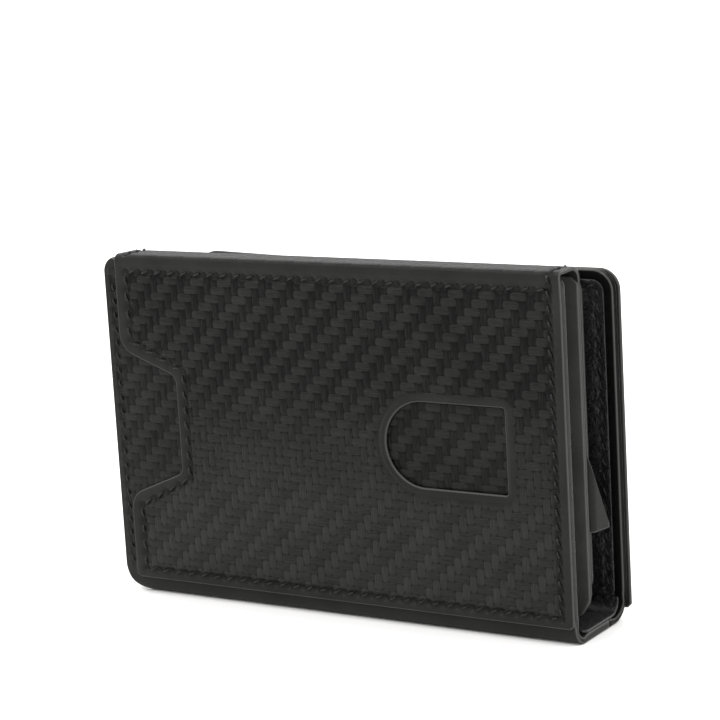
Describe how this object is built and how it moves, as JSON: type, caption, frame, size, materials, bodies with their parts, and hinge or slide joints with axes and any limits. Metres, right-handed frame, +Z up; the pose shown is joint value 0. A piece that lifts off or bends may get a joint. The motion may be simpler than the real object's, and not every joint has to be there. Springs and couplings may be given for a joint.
{
  "type": "minimalist wallet",
  "caption": "Slim black leather card wallet that stands on its spine, with a card pouch, a note compartment, a pull strap and covers that fold open.",
  "frame": {"origin": "middle of the spine's underside, on the surface the closed wallet stands on", "axes": "+X along the length towards the pouch's open end, +Y from the front cover to the back cover, +Z up"},
  "size_m": [0.1064, 0.0206, 0.071],
  "materials": {
    "smooth_leather": "black matt leather, smooth",
    "weave_leather": "black leather embossed with a twill weave",
    "lining": "black woven lining",
    "gloss_lining": "glossy black coated lining",
    "board": "grey stiffening board",
    "foil": "thin shielding foil",
    "strap_webbing": "black woven ribbon",
    "thread": "bonded black thread"
  },
  "bodies": {
    "spine": {"spine_leather": "smooth_leather", "spine_board": "board", "spine_lining": "lining", "front_fold": "smooth_leather", "back_fold": "smooth_leather"},
    "front_cover": {"front_cover_leather": "smooth_leather", "front_board": "board", "front_shield_foil": "foil", "front_lining": "lining", "front_edge_binding": "smooth_leather", "front_pocket_panel": "weave_leather", "pouch_top_fold": "weave_leather", "inner_leaf_leather": "weave_leather", "inner_leaf_lining": "lining", "pouch_bottom_gusset": "lining", "pouch_end_gusset": "lining", "card_panel": "smooth_leather", "card_panel_welt": "lining", "front_panel_stitching": "thread", "front_border_stitching": "thread", "card_panel_stitching": "thread"},
    "back_cover": {"back_cover_leather": "smooth_leather", "back_board": "board", "back_shield_foil": "foil", "back_lining": "gloss_lining", "back_edge_binding": "smooth_leather", "back_pocket_panel": "weave_leather", "back_lining_stitching": "thread", "back_panel_stitching": "thread"},
    "pull_tab": {"pull_strap": "strap_webbing", "pull_tab": "smooth_leather"}
  },
  "joints": [
    {"name": "front_cover_hinge", "type": "hinge", "parent": "spine", "child": "front_cover", "pos_m": [0, -0.00875, 0.0015], "axis": [1, 0, 0], "range_deg": [0, 90]},
    {"name": "back_cover_hinge", "type": "hinge", "parent": "spine", "child": "back_cover", "pos_m": [0, 0.00875, 0.0015], "axis": [-1, 0, 0], "range_deg": [0, 90]},
    {"name": "pull_tab_slide", "type": "slide", "parent": "front_cover", "child": "pull_tab", "axis": [1, 0, 0], "range_m": [0, 0.028]}
  ]
}
